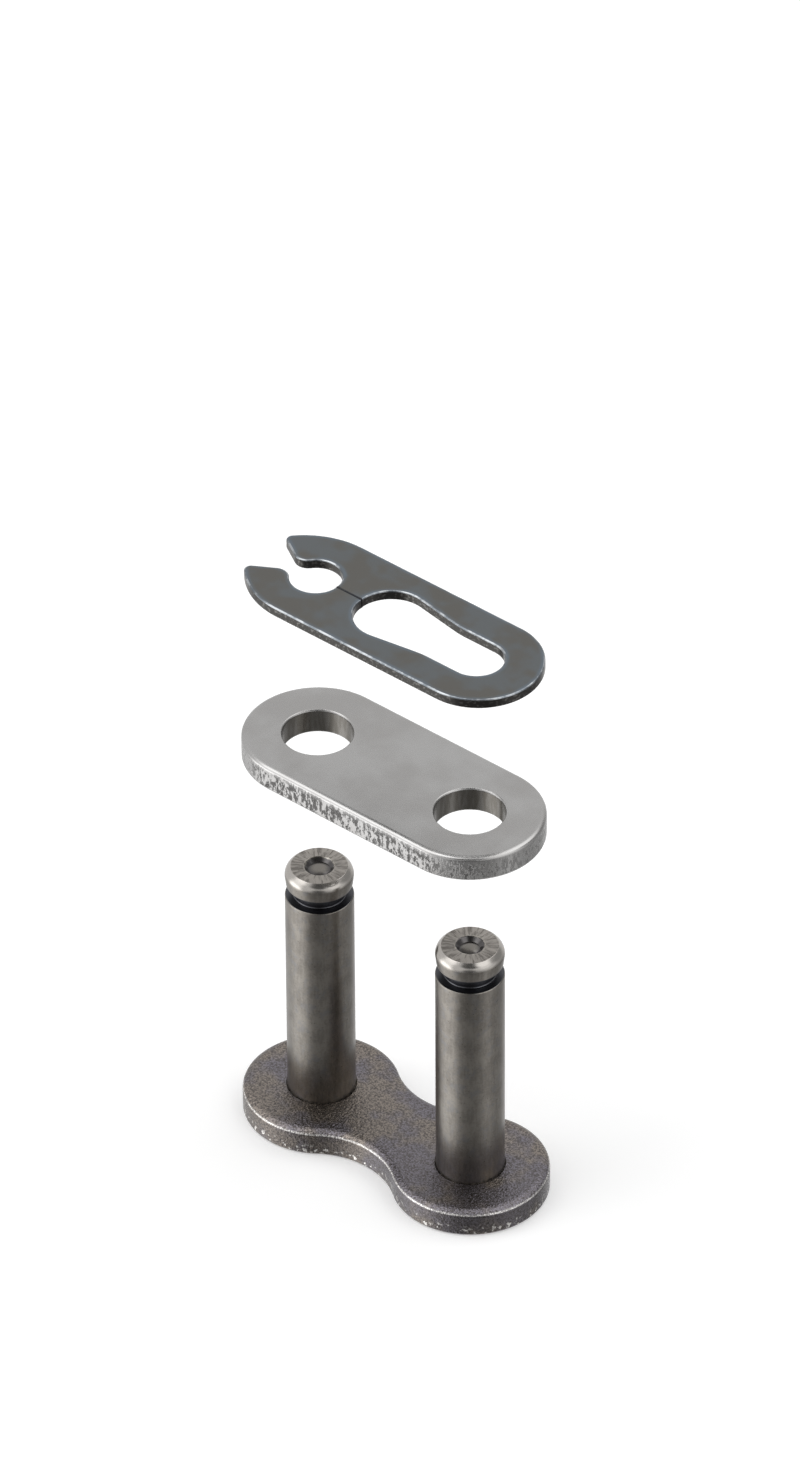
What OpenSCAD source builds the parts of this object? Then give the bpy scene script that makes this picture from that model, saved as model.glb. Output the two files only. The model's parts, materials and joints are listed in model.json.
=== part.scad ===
/* [Chain] */
// Distance between the axes of the two pins
pitch = 12.7; // [11:0.1:20]

/* [Pin plate] */
// Radius of each round end of the pin plate
pin_plate_end_r = 5.2; // [4.4:0.1:6]
// Width of the pin plate across its waist
pin_plate_waist_w = 6.2; // [4.8:0.1:8]
// Thickness of the pin plate
pin_plate_t = 1.9; // [1.2:0.05:3]
// Radius of the rolled edge round the upper face
pin_plate_roll_r = 0.5; // [0.1:0.05:0.7]
// Radius of the edge round the underside
pin_plate_foot_r = 0.2; // [0.05:0.05:0.35]
// Width of the chamfer round the mouth of each pin seat
seat_chamfer = 0.12; // [0.05:0.01:0.25]

/* [Pins] */
// Diameter of the bearing shaft of each pin
pin_d = 4.5; // [3.8:0.05:5]
// Length of the bearing shaft, from the pin plate up to the clip groove
pin_reach = 15.9; // [10:0.1:24]
// How much the press fit squeezes each pin inside its seat, on the radius
pin_squeeze = 0.01; // [0.005:0.005:0.03]
// How much each pin's pressed end narrows from the top of its seat to the underside, on the radius
pin_taper = 0.04; // [0.02:0.01:0.1]
// Height over the plate within which each pin regains its full size
pin_lead = 0.05; // [0.02:0.01:0.1]
// Bevel at the lower end of each pin
pin_foot_bevel = 0.2; // [0.05:0.05:0.4]
// Bevel on the rim of the shaft below the groove
pin_rim_bevel = 0.06; // [0.02:0.01:0.15]
// Diameter of the neck inside the clip groove
neck_d = 3.3; // [2.6:0.05:3.5]
// Height of the clip groove
groove_h = 0.9; // [0.85:0.05:1.5]
// Radius at the bottom of the groove, between the neck and the shoulder
neck_fillet_r = 0.1; // [0.02:0.01:0.2]
// Height of the pin head above the groove
head_h = 1.35; // [1.1:0.05:2.5]
// How much smaller the head's lower rim is than the shaft, on the radius
head_rim_step = 0.08; // [0.02:0.01:0.15]
// Height of the tapered band at the bottom of the head
head_band_h = 0.6; // [0.2:0.05:0.7]
// Diameter of the flat on top of the head
head_flat_d = 3.7; // [3:0.05:3.75]
// Diameter of the punched dimple on the left pin
left_dimple_d = 1.9; // [1:0.05:2.4]
// Diameter of the punched dimple on the right pin
right_dimple_d = 1.75; // [1:0.05:2.4]
// Depth of each dimple at its rim
dimple_depth = 0.32; // [0.1:0.02:0.5]
// Rise of the dimple's floor in the middle
dimple_crown = 0.16; // [0:0.02:0.3]

/* [Cover plate] */
// Radius of each round end of the cover plate
cover_end_r = 4.9; // [4.2:0.1:5.8]
// Thickness of the cover plate
cover_t = 1.8; // [1.2:0.05:3]
// Radius of the edges round the cover plate
cover_edge_r = 0.22; // [0.05:0.01:0.4]
// Gap between each pin and the wall of its hole, on the radius
cover_hole_gap = 0.05; // [0.02:0.01:0.1]
// Radius of the edge round the mouth of each hole
cover_hole_edge_r = 0.12; // [0.04:0.01:0.25]
// Gap between the closed cover plate and the level of the groove
cover_seat_gap = 0.05; // [0:0.01:0.3]

/* [Spring clip] */
// Thickness of the spring clip
clip_t = 0.7; // [0.5:0.05:0.8]
// Width of the clip across its parallel sides
clip_w = 8.4; // [7.8:0.1:9.6]
// Gap between the left neck and the wall of the notch, on the radius
clip_notch_gap = 0.05; // [0.02:0.01:0.1]
// Gap between the right neck and each side of the slot
clip_slot_gap = 0.15; // [0.05:0.01:0.25]
// Gap between a pin and the wide part of the opening, on the radius
clip_pass_gap = 0.18; // [0.1:0.01:0.3]
// Distance from the left pin's axis to the middle of the wide part
clip_pass_x = 6.25; // [5.8:0.05:7]
// Distance from the wide part's middle to the start of the parallel slot
clip_taper_len = 4.1; // [3.4:0.1:4.6]
// Radius that blends the taper into the slot
clip_blend_r = 6; // [2:0.5:8]
// Distance from the right pin's axis to the middle of the slot's round end
clip_slot_run = 0.55; // [0.2:0.05:1]
// Distance from the right pin's axis to the middle of the clip's round end
clip_end_run = 0.75; // [0.2:0.05:1.2]
// Width of the mouth at its narrowest
clip_mouth_w = 1.46; // [1.1:0.02:2]
// Radius of the rounded lips on each side of the mouth
clip_lip_r = 0.92; // [0.6:0.02:1]
// Angle by which each side of the mouth flares from the long axis
clip_flare = 31; // [26:1:36]
// Radius of each tip
clip_tip_r = 0.45; // [0.3:0.01:0.5]
// Radius of the outer curve that runs to each tip
clip_nose_r = 5.8; // [5.4:0.1:7]
// Distance past the left pin's axis where that curve begins
clip_nose_run = 0.25; // [0:0.05:1]
// Width of the slit that joins the notch to the opening
clip_slit = 0.06; // [0.04:0.01:0.15]

/* [Laid out] */
// How far the cover plate is lifted off its seat on the pins
cover_rise = 13.25; // [5:0.05:24]
// How much farther the clip is lifted out of its grooves
clip_rise = 11.7; // [3:0.05:20]

/* [Hidden] */
$fn = 96;
cut = 1;
half = pitch / 2;
pin_r = pin_d / 2;
seat_mouth_r = pin_r - pin_squeeze;
neck_r = neck_d / 2;
cover_hole_r = pin_r + cover_hole_gap;
groove_z = pin_plate_t + pin_reach;
head_z = groove_z + groove_h;
pin_top_z = head_z + head_h;
cover_z = groove_z - cover_seat_gap - cover_t + cover_rise;
clip_z = groove_z + (groove_h - clip_t) / 2 + cover_rise + clip_rise;
clip_half_w = clip_w / 2;
notch_r = neck_r + clip_notch_gap;
slot_half_w = neck_r + clip_slot_gap;
pass_r = pin_r + clip_pass_gap;

// Half of a plate's edge profile, with the axis of the round end at x = 0
module edge_profile(r, t, top_r, foot_r) {
    square([r - top_r, t]);
    translate([0, foot_r]) square([r, t - top_r - foot_r]);
    square([r - foot_r, t - top_r]);
    translate([r - top_r, t - top_r]) circle(top_r);
    translate([r - foot_r, foot_r]) circle(foot_r);
}

// What a concave side takes away, as a profile about the middle of its arc
module hollow_profile(r, t, top_r, foot_r) {
    translate([0, -cut]) square([r, t + 2 * cut]);
    difference() {
        translate([r - cut / 2, t - top_r]) square([top_r + cut / 2, top_r + cut]);
        translate([r + top_r, t - top_r]) circle(top_r);
    }
    difference() {
        translate([r - cut / 2, -cut]) square([foot_r + cut / 2, foot_r + cut]);
        translate([r + foot_r, foot_r]) circle(foot_r);
    }
}

// A hole's cutter, with the mouth rounded off at both faces
module rounded_hole(r, t, edge_r) {
    rotate_extrude() hollow_profile(r, t, edge_r, edge_r);
}

// The arc of the waist runs into both round ends and touches the waist's half
// width. It laps a hair over the round ends, so that their faces cross cleanly.
waist_lap = 0.005;
waist_half = pin_plate_waist_w / 2;
waist_arc_r = (half ^ 2 + waist_half ^ 2 - pin_plate_end_r ^ 2) / (2 * (pin_plate_end_r - waist_half));
waist_arc_y = waist_half + waist_arc_r;

module waist_block() {
    difference() {
        linear_extrude(pin_plate_t)
            polygon([[-half, 0], [0, -waist_arc_y], [half, 0], [0, waist_arc_y]]);
        for (side = [-1, 1]) translate([0, side * waist_arc_y, 0]) rotate_extrude()
            hollow_profile(waist_arc_r + waist_lap, pin_plate_t, pin_plate_roll_r, pin_plate_foot_r);
    }
}

// Radius of a seat, and of the pin pressed into it, at this height in the plate
function seat_r(z) = seat_mouth_r - pin_taper * (1 - z / pin_plate_t);

module pin_seat() {
    rim_r = seat_mouth_r + seat_chamfer;
    translate([0, 0, -cut])
        cylinder(h = pin_plate_t + 2 * cut, r1 = seat_r(-cut), r2 = seat_r(pin_plate_t + cut));
    translate([0, 0, pin_plate_t - cut / 2])
        cylinder(h = cut, r1 = rim_r - cut / 2, r2 = rim_r + cut / 2);
}

module pin_plate() {
    color("#5b5753") difference() {
        union() {
            waist_block();
            for (x = [-half, half]) translate([x, 0, 0]) rotate_extrude()
                edge_profile(pin_plate_end_r, pin_plate_t, pin_plate_roll_r, pin_plate_foot_r);
        }
        for (x = [-half, half]) translate([x, 0, 0]) pin_seat();
    }
}

// The head's shoulder is an arc from the band up to the rim of the flat
head_flat_r = head_flat_d / 2;
shoulder_w = pin_r - head_flat_r;
shoulder_h = head_h - head_band_h;
shoulder_r = (shoulder_w ^ 2 + shoulder_h ^ 2) / (2 * shoulder_w);

module shaft_profile() {
    polygon([
        [0, 0], [seat_r(0) - pin_foot_bevel, 0], [seat_r(pin_foot_bevel), pin_foot_bevel],
        [seat_mouth_r, pin_plate_t], [pin_r, pin_plate_t + pin_lead],
        [pin_r, groove_z - pin_rim_bevel], [pin_r - pin_rim_bevel, groove_z], [0, groove_z]
    ]);
}

module neck_profile() {
    translate([0, groove_z - cut / 2]) square([neck_r, groove_h + cut]);
    difference() {
        translate([0, groove_z - cut / 2]) square([neck_r + neck_fillet_r, neck_fillet_r + cut / 2]);
        translate([neck_r + neck_fillet_r, groove_z + neck_fillet_r]) circle(neck_fillet_r);
    }
}

module head_profile() {
    rim_r = pin_r - head_rim_step;
    band_z = head_z + head_band_h;
    polygon([[0, head_z], [rim_r, head_z], [pin_r, band_z], [0, band_z]]);
    intersection() {
        translate([0, band_z - cut / 4]) square([pin_r, shoulder_h + cut / 4]);
        union() {
            translate([pin_r - shoulder_r, band_z]) circle(shoulder_r);
            translate([0, band_z - cut / 4]) square([head_flat_r, shoulder_h + cut / 4]);
        }
        polygon([[0, head_z], [rim_r, head_z], [pin_r, band_z], [pin_r, pin_top_z], [0, pin_top_z]]);
    }
}

module dimple_profile(d) {
    polygon([
        [0, pin_top_z + cut], [d / 2, pin_top_z + cut], [d / 2, pin_top_z],
        [d / 2 - dimple_depth / 4, pin_top_z - dimple_depth],
        [0, pin_top_z - dimple_depth + dimple_crown]
    ]);
}

module pin(x, dimple_d) {
    translate([x, 0, 0]) rotate_extrude() difference() {
        union() {
            shaft_profile();
            neck_profile();
            head_profile();
        }
        dimple_profile(dimple_d);
    }
}

module left_pin() {
    color("#6a655e") pin(-half, left_dimple_d);
}

module right_pin() {
    color("#6a655e") pin(half, right_dimple_d);
}

module cover_bar() {
    rotate([90, 0, 90]) translate([0, 0, -half]) linear_extrude(pitch) for (side = [0, 1])
        mirror([side, 0]) edge_profile(cover_end_r, cover_t, cover_edge_r, cover_edge_r);
}

module cover_plate() {
    color("#b9b6b4") translate([0, 0, cover_z]) difference() {
        union() {
            cover_bar();
            for (x = [-half, half]) translate([x, 0, 0])
                rotate_extrude() edge_profile(cover_end_r, cover_t, cover_edge_r, cover_edge_r);
        }
        for (x = [-half, half]) translate([x, 0, 0])
            rounded_hole(cover_hole_r, cover_t, cover_hole_edge_r);
    }
}

// The clip lies in its own frame, with the left pin's axis at the origin.
// Its upper arm is drawn, and the lower one mirrors it. Each arc laps a hair
// over the line or arc that it runs into, so that they cross at one clean point.
lap = 0.002;
lip_y = clip_mouth_w / 2 + clip_lip_r;
lip = [-sqrt((notch_r + clip_lip_r - lap) ^ 2 - lip_y ^ 2), lip_y];
flare_dir = [-cos(clip_flare), sin(clip_flare)];
flare_in = [sin(clip_flare), cos(clip_flare)];
lip_flare = lip - (clip_lip_r - lap) * flare_in;
nose = [clip_nose_run, clip_half_w - clip_nose_r];

// The tip touches the flare and the inside of the nose curve
tip_start = lip_flare + (clip_tip_r - lap) * flare_in - nose;
tip_reach = clip_nose_r - clip_tip_r + lap;
tip_b = tip_start * flare_dir;
tip_run = -tip_b + sqrt(tip_b ^ 2 - tip_start * tip_start + tip_reach ^ 2);
tip = nose + tip_start + tip_run * flare_dir;
tip_flare = tip - (clip_tip_r - lap) * flare_in;
tip_beyond = nose + (tip - nose) * (clip_nose_r + cut) / tip_reach;

// The taper touches the wide part and ends where the slot's side begins
slot_x = clip_pass_x + clip_taper_len;
taper_len = norm([clip_taper_len, slot_half_w]);
taper_turn = atan2(slot_half_w, clip_taper_len) + acos((pass_r - lap) / taper_len);
taper_start = [clip_pass_x, 0] + (pass_r - lap) * [cos(taper_turn), sin(taper_turn)];
taper_slope = 90 - taper_turn;
blend_reach = clip_blend_r - lap;
blend_run = blend_reach * tan(taper_slope / 2);
blend = [slot_x + blend_run, slot_half_w + blend_reach];
slot_end_x = pitch + clip_slot_run;
clip_end_x = pitch + clip_end_run;

module arm_outline() {
    difference() {
        union() {
            intersection() {
                translate(nose) circle(clip_nose_r, $fn = 180);
                polygon([
                    [nose.x, clip_slit / 2], [nose.x, clip_half_w + cut], tip_beyond, tip,
                    tip_flare, lip_flare, lip, [0, 0]
                ]);
            }
            translate(tip) circle(clip_tip_r);
            translate(lip) circle(clip_lip_r);
        }
        circle(notch_r);
    }
}

module side_outline() {
    difference() {
        union() {
            translate([nose.x, clip_slit / 2]) square([clip_end_x - nose.x, clip_half_w - clip_slit / 2]);
            intersection() {
                translate([clip_end_x, 0]) circle(clip_half_w, $fn = 180);
                translate([clip_end_x - cut, 0]) square([clip_half_w + 2 * cut, clip_half_w]);
            }
        }
        circle(notch_r);
        opening_outline();
    }
}

module opening_outline() {
    translate([clip_pass_x, 0]) circle(pass_r);
    polygon([
        [clip_pass_x, -cut], [clip_pass_x, 0], taper_start, [slot_x, slot_half_w],
        [slot_end_x, slot_half_w], [slot_end_x, -cut]
    ]);
    translate([slot_end_x, 0]) circle(slot_half_w);
    difference() {
        polygon([
            [slot_x, 0], [blend.x, slot_half_w], blend,
            [slot_x, slot_half_w] + blend_run * [-cos(taper_slope), sin(taper_slope)]
        ]);
        translate(blend) circle(clip_blend_r, $fn = 180);
    }
}

module spring_clip() {
    color("#565a5e") translate([-half, 0, clip_z]) linear_extrude(clip_t) for (side = [0, 1])
        mirror([0, side]) {
            arm_outline();
            side_outline();
        }
}

pin_plate();
left_pin();
right_pin();
cover_plate();
spring_clip();
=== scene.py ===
"""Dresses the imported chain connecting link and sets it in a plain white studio.

The link is laid apart: the pin plate with its two pressed pins stands on the
floor, the cover plate hangs over the pins and the spring clip over the cover
plate. Every length is in metres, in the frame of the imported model.
"""

import json
import logging
import math
from collections.abc import Iterable, Sequence
from dataclasses import dataclass, field
from enum import Enum

import bpy
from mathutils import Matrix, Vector
from mathutils.geometry import tessellate_polygon


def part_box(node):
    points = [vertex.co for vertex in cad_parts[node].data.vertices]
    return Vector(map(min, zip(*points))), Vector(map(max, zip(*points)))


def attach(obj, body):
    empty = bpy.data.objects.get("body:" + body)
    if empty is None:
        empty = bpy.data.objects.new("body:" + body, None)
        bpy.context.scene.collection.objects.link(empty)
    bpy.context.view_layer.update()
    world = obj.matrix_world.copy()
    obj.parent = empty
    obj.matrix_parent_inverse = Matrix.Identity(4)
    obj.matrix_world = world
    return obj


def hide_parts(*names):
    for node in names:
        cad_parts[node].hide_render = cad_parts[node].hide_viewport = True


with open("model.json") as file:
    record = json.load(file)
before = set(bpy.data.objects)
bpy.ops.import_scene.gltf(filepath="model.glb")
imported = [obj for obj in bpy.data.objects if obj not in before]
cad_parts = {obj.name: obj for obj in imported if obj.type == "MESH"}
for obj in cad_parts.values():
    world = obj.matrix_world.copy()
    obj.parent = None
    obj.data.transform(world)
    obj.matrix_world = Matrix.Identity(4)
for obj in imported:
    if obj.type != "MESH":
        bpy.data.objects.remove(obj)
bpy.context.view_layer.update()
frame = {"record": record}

LOG = logging.getLogger("connecting_link")

MM = 0.001
TOUCH = 1e-8
ARC_STEP_DEG = 3.0
ROUND_STEPS = 128
BEND_STEP_DEG = 12.0
SMOOTH_DEG = 30.0
SHARP_SHARE = 0.15
RIM_DEPTH = "rim_depth"
UP = Vector((0.0, 0.0, 1.0))

Colour = tuple[float, float, float]
Span = tuple[float, float]
Socket = bpy.types.NodeSocket
Inputs = dict[str | int, object]


class Side(Enum):
    """Which pin a piece belongs to, as the sign of its place along X."""

    LEFT = -1
    RIGHT = 1


def polar(radius: float, degrees: float) -> Vector:
    """Returns the plane point at this radius and angle about the origin."""
    turn = math.radians(degrees)
    return Vector((radius * math.cos(turn), radius * math.sin(turn)))


def angle_of(direction: Vector) -> float:
    """Returns the angle of a plane direction from +X, in degrees."""
    return math.degrees(math.atan2(direction.y, direction.x))


@dataclass
class Outline:
    """A chain of plane points, anticlockwise round material and clockwise round a hole.

    Attributes:
        points: The points in order.
        sharp: Those of them where the slab's edges are hardly rounded.
    """

    points: list[Vector] = field(default_factory=list)
    sharp: list[Vector] = field(default_factory=list)

    def to(self, *points: Vector) -> "Outline":
        """Adds straight stretches.

        Args:
            *points: Where the stretches end. One that repeats the last point is left out.

        Returns:
            This outline.
        """
        for point in points:
            if not self.points or (self.points[-1] - point).length > TOUCH:
                self.points.append(point)
        return self

    def keep_sharp(self) -> "Outline":
        """Marks the last point as a corner where the slab's edges are hardly rounded."""
        self.sharp.append(self.points[-1])
        return self

    def share(self, point: Vector) -> float:
        """Returns how much of the slab's insets a point takes, 0 to 1."""
        return SHARP_SHARE if any((point - corner).length < TOUCH for corner in self.sharp) else 1.0

    def moved(self, shift: Vector) -> "Outline":
        """Returns a copy that is moved in the plane."""
        return Outline([p + shift for p in self.points], [p + shift for p in self.sharp])

    def arc(self, centre: Vector, radius: float, start: float, end: float) -> "Outline":
        """Adds an arc.

        Args:
            centre: The middle of the arc.
            radius: Its radius.
            start: The angle where it starts, in degrees.
            end: The angle where it ends, smaller than start for a clockwise arc.

        Returns:
            This outline.
        """
        count = max(2, math.ceil(abs(end - start) / ARC_STEP_DEG))
        turns = [start + (end - start) * i / count for i in range(count + 1)]
        return self.to(*[centre + polar(radius, turn) for turn in turns])

    def mirrored(self) -> "Outline":
        """Closes the outline with its own mirror image across the X axis."""
        self.sharp += [Vector((p.x, -p.y)) for p in self.sharp]
        return self.to(*[Vector((p.x, -p.y)) for p in reversed(self.points)])

    def closed(self) -> "Outline":
        """Drops a last point that repeats the first one.

        Returns:
            This outline.
        """
        if (self.points[0] - self.points[-1]).length < TOUCH:
            self.points.pop()
        return self


def circle_hole(centre: Vector, radius: float) -> Outline:
    """Returns a round hole's outline."""
    return Outline().arc(centre, radius, 360.0, 0.0).closed()


@dataclass(frozen=True)
class Level:
    """One ring of a slab's wall.

    Attributes:
        inset: How far the ring lies inside the outline.
        z: Its height.
        tilt: The angle of the wall's normal above the horizontal, in degrees.
        depth: How deep inside the rim it counts for the finish, 0 to 1.
    """

    inset: float
    z: float
    tilt: float
    depth: float = 0.0


@dataclass(frozen=True)
class Bend:
    """One arc of a rounded edge.

    Attributes:
        radius: Its radius.
        start: The tilt of the surface's normal where it starts, in degrees.
        end: The tilt where it ends.
    """

    radius: float
    start: float
    end: float

    def step(self, first: float, last: float) -> Vector:
        """Returns how far inward and upward the surface goes between two tilts."""
        low, high = polar(self.radius, first), polar(self.radius, last)
        return Vector((low.x - high.x, high.y - low.y))


def rounded_wall(foot_z: float, top_z: float, foot: Sequence[Bend], top: Sequence[Bend]) -> list[Level]:
    """Lists the rings of a wall whose two edges are rounded.

    Args:
        foot_z: Height of the slab's underside.
        top_z: Height of its upper face.
        foot: The bends of the lower edge, from tilt -90 to 0.
        top: The bends of the upper edge, from tilt 0 to 90.

    Returns:
        The rings from the lowest to the highest.
    """
    levels = []
    inward = -sum(bend.step(bend.start, bend.end).x for bend in foot)
    rise = sum(bend.step(bend.start, bend.end).y for bend in top)
    for bends, place in ((foot, Vector((inward, foot_z))), (top, Vector((0.0, top_z - rise)))):
        levels.append(Level(place.x, place.y, bends[0].start))
        for bend in bends:
            count = math.ceil((bend.end - bend.start) / BEND_STEP_DEG)
            tilts = [bend.start + (bend.end - bend.start) * i / count for i in range(count + 1)]
            for low, high in zip(tilts, tilts[1:]):
                place = place + bend.step(low, high)
                levels.append(Level(place.x, place.y, high))
    return levels


def plain_bend(radius: float, start: float) -> tuple[Bend]:
    """Returns a quarter-round edge that starts at this tilt."""
    return (Bend(radius, start, start + 90.0),)


@dataclass
class Shell:
    """A mesh in the making, with a normal at each corner of each face."""

    points: list[Vector] = field(default_factory=list)
    depths: list[float] = field(default_factory=list)
    faces: list[tuple[int, ...]] = field(default_factory=list)
    normals: list[Vector] = field(default_factory=list)

    def add(self, points: Iterable[Vector], depth: float = 0.0) -> list[int]:
        """Adds points.

        Args:
            points: The points.
            depth: How deep inside the rim they count for the finish.

        Returns:
            The numbers of the new points.
        """
        first = len(self.points)
        self.points.extend(points)
        numbers = list(range(first, len(self.points)))
        self.depths.extend([depth] * len(numbers))
        return numbers

    def face(self, corners: Sequence[int], normals: Sequence[Vector]) -> None:
        """Adds one face with the normal at each of its corners."""
        self.faces.append(tuple(corners))
        self.normals.extend(normals)

    def cap(self, rings: Sequence[Sequence[int]], facing: Vector) -> None:
        """Fills the flat face between rings.

        Args:
            rings: The outer ring and then the rings of the holes.
            facing: The direction the face looks in, up or down.
        """
        numbers = [n for ring in rings for n in ring]
        outlines = [[self.points[n] for n in ring] for ring in rings]
        for triangle in tessellate_polygon(outlines):
            a, b, c = (numbers[i] for i in triangle)
            turn = (self.points[b] - self.points[a]).cross(self.points[c] - self.points[a])
            corners = (a, b, c) if turn.dot(facing) > 0 else (a, c, b)
            self.face(corners, [facing] * 3)

    def build(self, name: str) -> bpy.types.Object:
        """Makes the object and links it to the scene.

        Args:
            name: The object's name.

        Returns:
            The new mesh object.
        """
        mesh = bpy.data.meshes.new(name)
        mesh.from_pydata(self.points, [], self.faces)
        mesh.polygons.foreach_set("use_smooth", [True] * len(mesh.polygons))
        mesh.normals_split_custom_set([tuple(n) for n in self.normals])
        mesh.attributes.new(RIM_DEPTH, "FLOAT", "POINT").data.foreach_set("value", self.depths)
        mesh.update()
        made = bpy.data.objects.new(name, mesh)
        bpy.context.scene.collection.objects.link(made)
        return made


def corner_normals(flats: Sequence[Vector]) -> list[tuple[Vector, Vector]]:
    """Rounds the normals where an outline or a profile turns smoothly.

    Args:
        flats: The normals of the stretches, the first of them the one that arrives
            at the first point.

    Returns:
        For each point the normal before it and the one after it, made equal where
        the turn between them is small.
    """
    pairs = []
    for before, after in zip(flats, flats[1:]):
        if before.angle(after) < math.radians(SMOOTH_DEG):
            before = after = (before + after).normalized()
        pairs.append((before, after))
    return pairs


def stretch_normal(start: Vector, end: Vector) -> Vector:
    """Returns the normal to the right of a straight stretch."""
    run = end - start
    return Vector((run.y, -run.x)).normalized()


def slab(name: str, outlines: Sequence[Outline], walls: Sequence[Sequence[Level]]) -> bpy.types.Object:
    """Builds a flat piece with rounded edges.

    Args:
        name: The piece's name.
        outlines: The outer outline and then the holes.
        walls: For each outline, the rings of its wall from bottom to top.

    Returns:
        The new mesh object.
    """
    shell = Shell()
    bottoms, tops = [], []
    for outline, levels in zip(outlines, walls):
        points = outline.points
        count = len(points)
        flats = [stretch_normal(points[i - 1], points[i]) for i in range(count)]
        pairs = corner_normals([*flats, flats[0]])
        rings = []
        for level in levels:
            ring = []
            for point, (before, after) in zip(points, pairs):
                inward = -(before + after) / (1.0 + before.dot(after))
                at = point + inward * level.inset * outline.share(point)
                ring.append(Vector((at.x, at.y, level.z)))
            rings.append(shell.add(ring, level.depth))
        for low, high in zip(range(len(levels) - 1), range(1, len(levels))):
            for i in range(count):
                j = (i + 1) % count
                corners = ((low, i), (low, j), (high, j), (high, i))
                normals = []
                for row, place in corners:
                    flat = pairs[place][1 if place == i else 0]
                    lean = polar(1.0, levels[row].tilt)
                    normals.append(Vector((flat.x * lean.x, flat.y * lean.x, lean.y)))
                shell.face([rings[row][place] for row, place in corners], normals)
        bottoms.append(rings[0])
        tops.append(rings[-1])
    shell.cap(bottoms, -UP)
    shell.cap(tops, UP)
    return shell.build(name)


def lathe(name: str, profile: Sequence[Vector]) -> bpy.types.Object:
    """Turns a profile about the Z axis.

    Args:
        name: The piece's name.
        profile: Points of radius and height, from the bottom of the axis to its top.

    Returns:
        The new mesh object.
    """
    shell = Shell()
    flats = [stretch_normal(start, end) for start, end in zip(profile, profile[1:])]
    sides = corner_normals([flats[0], *flats, flats[-1]])
    turns = [polar(1.0, 360.0 * k / ROUND_STEPS) for k in range(ROUND_STEPS)]

    def swung(flat: Vector, turn: Vector) -> Vector:
        """Returns a profile's point or normal swung round to one turn."""
        return Vector((flat.x * turn.x, flat.x * turn.y, flat.y))

    rings = []
    for point in profile:
        if point.x < TOUCH:
            rings.append(shell.add([Vector((0.0, 0.0, point.y))]) * ROUND_STEPS)
        else:
            rings.append(shell.add([swung(point, turn) for turn in turns]))
    for i in range(len(profile) - 1):
        low, high = sides[i][1], sides[i + 1][0]
        for k in range(ROUND_STEPS):
            j = (k + 1) % ROUND_STEPS
            corners = [
                (rings[i][k], swung(low, turns[k])),
                (rings[i][j], swung(low, turns[j])),
                (rings[i + 1][j], swung(high, turns[j])),
                (rings[i + 1][k], swung(high, turns[k])),
            ]
            kept = [c for n, c in enumerate(corners) if c[0] != corners[n - 1][0]]
            shell.face([c[0] for c in kept], [c[1] for c in kept])
    return shell.build(name)


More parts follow.
